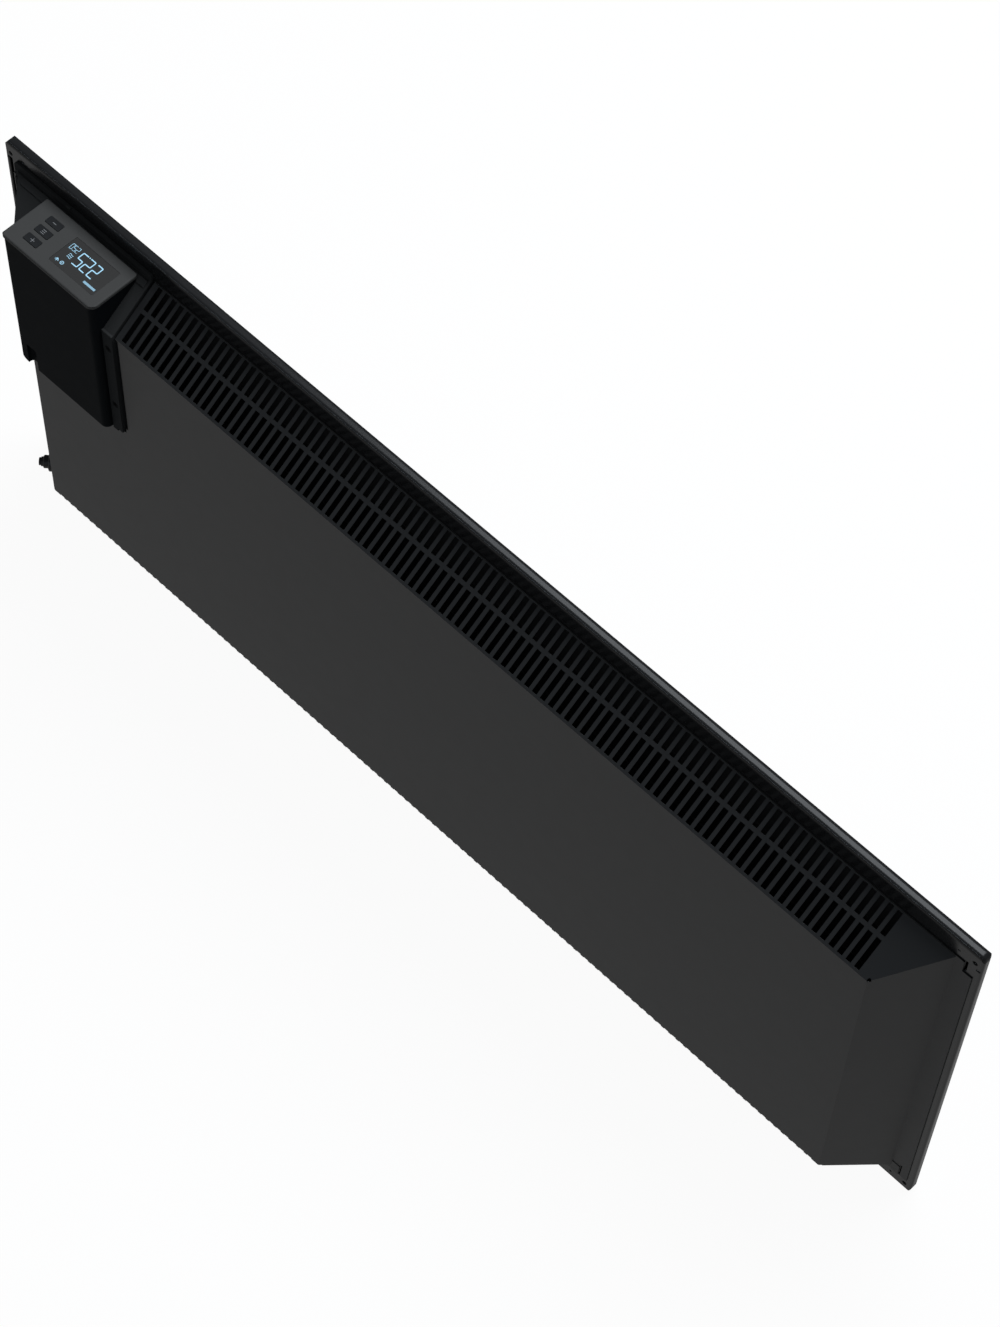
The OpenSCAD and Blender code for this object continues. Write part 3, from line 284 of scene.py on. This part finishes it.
SHEET = bare_metal("zinc_sheet", (0.55, 0.56, 0.58))
# The heat shield has a coat made dark grey so that the slots in the casing show dark: this darkness is
# painted shade inside the casing
SHIELD_PAINTED_SHADE = coated("shield_coat_painted_shade", (0.03, 0.03, 0.0304), 0.7, 0.3, gloss=0.05)
ALUMINIUM = bare_metal("fin_aluminium", (0.66, 0.67, 0.69), 0.28)
STEEL = bare_metal("screw_steel", (0.42, 0.42, 0.43), 0.3)
DARK_SCREW = moulded("blacked_steel", (0.007, 0.0074, 0.0078), 0.5, 0.15, gloss=0.01)
BRASS = bare_metal("stud_brass", (0.62, 0.42, 0.16), 0.28)
BOARD = moulded("board_mask", (0.012, 0.08, 0.035), 0.3, 0.1)
FIBRE = moulded("fibre_board", (0.38, 0.37, 0.33), 0.9, 0.8, 1200)
CERAMIC = moulded("ceramic", (0.68, 0.64, 0.55), 0.6, 0.4, 1500)
SLEEVE = moulded("lead_sleeve", (0.42, 0.4, 0.35), 0.8, 0.7, 1800)
NYLON = moulded("natural_nylon", (0.6, 0.6, 0.56), 0.5)
BLACK = moulded("component_black", (0.012, 0.012, 0.013), 0.4)
BLUE = moulded("relay_blue", (0.02, 0.07, 0.24), 0.35)
YELLOW = moulded("capacitor_yellow", (0.5, 0.3, 0.05), 0.35)
GREEN = moulded("terminal_green", (0.03, 0.22, 0.09), 0.45)
LIT = glowing("lit_segments", DISPLAY_BLUE, 0.9)
DIM = glowing("dim_segments", DISPLAY_BLUE, 0.4)
MARK = moulded("printed_mark", (0.2, 0.205, 0.21), 0.5, 0.05)

# The material of each CAD node
FINISH = {
    "front_panel": PANEL, "rear_casing": CASING, "heat_shield": SHIELD_PAINTED_SHADE, "spacer_strips": FIBRE,
    "element_fins": ALUMINIUM, "heating_rod": STEEL, "rod_end_bushes": CERAMIC,
    "element_bracket_left": SHEET, "element_bracket_right": SHEET, "thermal_cutout": BLACK,
    "element_leads": SLEEVE, "lead_clips": NYLON, "earth_stud": BRASS,
    "control_base": BASE, "base_screws": DARK_SCREW, "control_housing": HOUSING,
    "control_bezel": BEZEL, "display_window": WINDOW, "display_module": BLACK,
    "display_board": BOARD, "display_screws": STEEL, "tact_switches": BLACK,
    "button_minus": BUTTON, "button_menu": BUTTON, "button_plus": BUTTON,
    "power_board": BOARD, "power_board_screws": STEEL, "relay": BLUE, "power_module": BLACK,
    "filter_capacitor": YELLOW, "terminal_block": GREEN, "room_sensor": BLACK,
    "gland_body": GLAND, "gland_cap": GLAND, "gland_seal": RUBBER, "gland_nut": GLAND,
}


def finish_nodes():
    """Gives each CAD node its material"""
    for name, obj in nodes.items():
        obj.data.materials.clear()
        obj.data.materials.append(FINISH[name])


def piece(name, mesh, body, material):
    """A mesh as a named piece that rides with a body, in a material slot of its own"""
    obj = bpy.data.objects.new(name, mesh)
    bpy.context.scene.collection.objects.link(obj)
    obj.data.materials.append(material)
    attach(obj, body)


def print_mesh(name, outlines, level):
    """Thin printed marks: each outline is a closed run of (x, y) in millimetres, laid on level(x, y)"""
    bm = bmesh.new()
    for outline in outlines:
        corners = [(x * MM, y * MM) for x, y in outline]
        face = bm.faces.new([bm.verts.new((x, y, level(x, y))) for x, y in corners])
        face.normal_update()
        if face.normal.z < 0:
            face.normal_flip()
    bmesh.ops.remove_doubles(bm, verts=bm.verts[:], dist=0.002 * MM)
    grown = bmesh.ops.extrude_face_region(bm, geom=bm.faces[:])
    raised = [g for g in grown["geom"] if isinstance(g, bmesh.types.BMVert)]
    bmesh.ops.translate(bm, verts=raised, vec=(0, 0, PRINT_T))
    bmesh.ops.recalc_face_normals(bm, faces=bm.faces[:])
    mesh = bpy.data.meshes.new(name)
    bm.to_mesh(mesh)
    bm.free()
    return mesh


def softened(points, radius, steps=5):
    """The run of points with its inner corners rounded"""
    run = [Vector(points[0])]
    for before, corner, after in zip(points, points[1:], points[2:]):
        corner = Vector(corner)
        to_before = (Vector(before) - corner).normalized() * radius
        to_after = (Vector(after) - corner).normalized() * radius
        for k in range(steps + 1):
            t = k / steps
            run.append(corner + to_before * (1 - t) ** 2 + to_after * t ** 2)
    run.append(Vector(points[-1]))
    return run


def ribbon(run, width):
    """A stroke of even width along a run of points, as quads that share their ends"""
    run = [Vector(p) for p in run]
    rails = []
    for k, p in enumerate(run):
        ahead = (run[min(k + 1, len(run) - 1)] - run[max(k - 1, 0)]).normalized()
        across = Vector((-ahead.y, ahead.x)) * width / 2
        rails.append((p - across, p + across))
    return [[a[0], b[0], b[1], a[1]] for a, b in zip(rails, rails[1:])]


def bar(x0, y0, x1, y1, width):
    """A straight stroke"""
    return ribbon([(x0, y0), (x1, y1)], width)


def arc(cx, cy, radius, a0, a1, steps):
    """Points of an arc from angle a0 to a1 in degrees"""
    turns = [math.radians(a0 + (a1 - a0) * k / steps) for k in range(steps + 1)]
    return [(cx + radius * math.cos(a), cy + radius * math.sin(a)) for a in turns]


def ring(cx, cy, radius, width):
    """A circle drawn with a stroke"""
    return ribbon(arc(cx, cy, radius, 0, 360, 28), width)


def spot(cx, cy, radius):
    """A filled disc"""
    return [arc(cx, cy, radius, 0, 345, 23)]


# The run of each figure on a grid 1 wide and 2 tall, as a display draws it
FIGURES = {
    "0": [(0.5, 2), (1, 2), (1, 0), (0, 0), (0, 2), (0.5, 2)],
    "2": [(0, 2), (1, 2), (1, 1), (0, 1), (0, 0), (1, 0)],
    "5": [(1, 2), (0, 2), (0, 1), (1, 1), (1, 0), (0, 0)],
}


def figures(text, x, y, width, height, pitch, stroke, soft):
    """A number whose first figure has the lower left end of its centre line at x, y"""
    outlines = []
    for ch in text:
        if ch == ".":
            outlines += spot(x - (pitch - width) / 2, y, stroke * 0.62)
            continue
        run = [(x + u * width, y + v * height / 2) for u, v in FIGURES[ch]]
        outlines += ribbon(softened(run, soft), stroke)
        x += pitch
    return outlines


def waves(x, y):
    """Three short wavy strokes one above the other, the mark for heat"""
    outlines = []
    for row in range(3):
        level = y + 1.5 * row
        run = [(x + 0.49 * k, level + 0.35 * math.sin(math.radians(45 * k))) for k in range(9)]
        outlines += ribbon(run, 0.4)
    return outlines


def display():
    """The display: a big and a small temperature, a heat mark, two small marks and a status bar"""
    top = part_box("display_window")[1].z
    marks = figures("22.5", 332.5, -21, width=5, height=12.1, pitch=7.4, stroke=0.85, soft=0.8)
    marks += figures("25.0", 355.9, -21.7, width=2.1, height=4.9, pitch=2.9, stroke=0.32, soft=0.3)
    marks += waves(355.5, -13.7)
    marks += ring(357.2, -4.3, 1.3, 0.45)
    marks += spot(357.2, -4.3, 0.4)
    marks += ribbon(softened([(360.4, -3.4), (362.1, -5.3), (363.6, -3.4)], 0.5), 0.55)
    marks += bar(362.05, -4.6, 362.05, -2.6, 0.5)
    mesh = print_mesh("display_marks", marks, lambda x, y: top)
    piece("display_marks", mesh, ROOT, LIT)
    mesh = print_mesh("status_bar", bar(322.9, -4.15, 334.5, -4.15, 1.9), lambda x, y: top)
    piece("status_bar", mesh, ROOT, DIM)


def on_top_of(name):
    """The level of marks laid on a node's upper surface, as a function of x, y"""
    tree = BVHTree.FromObject(nodes[name], bpy.context.evaluated_depsgraph_get())
    above = nodes[name].bound_box[1][2] + 5 * MM

    def level(x, y):
        """Half a mark's thickness below the surface, so that the mark is sunk into it"""
        hit = tree.ray_cast(Vector((x, y, above)), Vector((0, 0, -1)))[0]
        return hit.z - PRINT_T / 2
    return level


# The strokes on each button, from its middle: both ends, then the width
BUTTON_STROKES = {
    "button_minus": [((-1.7, 0), (1.7, 0), 0.5)],
    "button_menu": [((-1.7, level), (1.7, level), 0.45) for level in (-1.5, 0, 1.5)],
    "button_plus": [
        ((-1.9, 0), (1.9, 0), 0.5),
        ((0, -1.9), (0, -0.25), 0.5),
        ((0, 0.25), (0, 1.9), 0.5),
    ],
}
STROKE_STEPS = 6


def button_marks():
    """Minus, menu and plus on the three buttons, each stroke in steps that follow the curved surface"""
    low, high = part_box("button_menu")
    middle_x = (low.x + high.x) / 2 / MM
    for name, strokes in BUTTON_STROKES.items():
        low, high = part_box(name)
        middle = Vector((middle_x, (low.y + high.y) / 2 / MM))
        outlines = []
        for start, end, width in strokes:
            start = middle + Vector(start)
            end = middle + Vector(end)
            run = [start.lerp(end, k / STROKE_STEPS) for k in range(STROKE_STEPS + 1)]
            outlines += ribbon(run, width)
        mesh = print_mesh(name + "_mark", outlines, on_top_of(name))
        piece(name + "_mark", mesh, name, MARK)


def area_light(name, at, size, power, colour, on_matt=True):
    """A soft panel of light that faces the heater; off matt faces it shows only as a highlight"""
    light = bpy.data.lights.new(name, "AREA")
    light.shape = "RECTANGLE"
    light.size, light.size_y = size
    light.energy = power
    light.color = colour
    obj = bpy.data.objects.new(name, light)
    obj.location = at
    obj.rotation_euler = (-Vector(at)).to_track_quat("-Z", "Y").to_euler()
    obj.visible_diffuse = on_matt
    bpy.context.scene.collection.objects.link(obj)


def floor_material():
    """White to the eye with a faint shadow, pale under light, with its own image in glossy faces"""
    mat, tree, shader = new_material("floor_white")
    shader.inputs["Roughness"].default_value = 0.9
    path = add(tree, "ShaderNodeLightPath")
    seen = path.outputs["Is Camera Ray"]
    glossy = path.outputs["Is Glossy Ray"]
    pale = tint(tree, seen, FLOOR_PALE, (1, 1, 1))
    tree.links.new(pale, shader.inputs["Base Color"])
    end_x = cad_box[0][0]
    behind = ramp(tree, place(tree, "Y"), FLOOR_IN_FRONT, 1, FLOOR_FADE_TO, FLOOR_FADE_FROM)
    beyond_end = ramp(tree, place(tree, "X"), 1, 0, end_x - FLOOR_END_FADE, end_x)
    ahead = math_node(tree, "SUBTRACT", 1, behind)
    level = math_node(tree, "MULTIPLY_ADD", ahead, beyond_end, behind)
    image = math_node(tree, "MULTIPLY", level, FLOOR_IN_GLOSS)
    glow = add(tree, "ShaderNodeEmission")
    tree.links.new(math_node(tree, "MAXIMUM", seen, image), glow.inputs["Strength"])
    white = math_node(tree, "MULTIPLY", seen, FLOOR_WHITE_TO_CAMERA)
    share = math_node(tree, "MAXIMUM", white, glossy)
    mix = add(tree, "ShaderNodeMixShader")
    tree.links.new(share, mix.inputs["Fac"])
    tree.links.new(shader.outputs["BSDF"], mix.inputs[1])
    tree.links.new(glow.outputs["Emission"], mix.inputs[2])
    tree.links.new(mix.outputs["Shader"], tree.nodes["Material Output"].inputs["Surface"])
    return mat


def stage():
    """A wide pale floor under the heater's lower edge"""
    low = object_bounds()[0]
    bm = bmesh.new()
    bmesh.ops.create_grid(bm, x_segments=1, y_segments=1, size=FLOOR_HALF)
    mesh = bpy.data.meshes.new("floor")
    bm.to_mesh(mesh)
    bm.free()
    floor = bpy.data.objects.new("floor", mesh)
    floor.location = (0, 0, low[2] - FLOOR_GAP)
    floor.data.materials.append(floor_material())
    bpy.context.scene.collection.objects.link(floor)
    floor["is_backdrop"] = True


def lights():
    """The room, the soft overhead panel and the low strip behind"""
    world = bpy.data.worlds.new("studio")
    bpy.context.scene.world = world
    world.use_nodes = True
    background = world.node_tree.nodes["Background"]
    background.inputs["Color"].default_value = (*ROOM_TONE, 1)
    background.inputs["Strength"].default_value = ROOM_LIGHT
    area_light("overhead", OVERHEAD_AT, OVERHEAD_SIZE, OVERHEAD_W, OVERHEAD_TONE)
    area_light("rim", STRIP_AT, STRIP_SIZE, STRIP_W, STRIP_TONE, on_matt=False)


def camera():
    """The photograph's camera"""
    cam = bpy.data.cameras.new("camera")
    cam.lens = LENS_MM
    cam.sensor_width = SENSOR_MM
    cam.sensor_fit = "AUTO"
    cam.clip_start = 0.05
    cam.clip_end = 100
    obj = bpy.data.objects.new("camera", cam)
    look = CAMERA_LOOK.normalized()
    level = (Vector((0, 0, 1)) - look * look.z).normalized()
    right = look.cross(level)
    roll = math.radians(CAMERA_ROLL)
    up = level * math.cos(roll) + right * math.sin(roll)
    side = look.cross(up)
    turn = Matrix((side, up, -look)).transposed().to_4x4()
    obj.matrix_world = Matrix.Translation(CAMERA_AT) @ turn
    bpy.context.scene.collection.objects.link(obj)
    bpy.context.scene.camera = obj


finish_nodes()
display()
button_marks()
stage()
lights()
camera()
scene = bpy.context.scene
scene.view_settings.view_transform = "Standard"
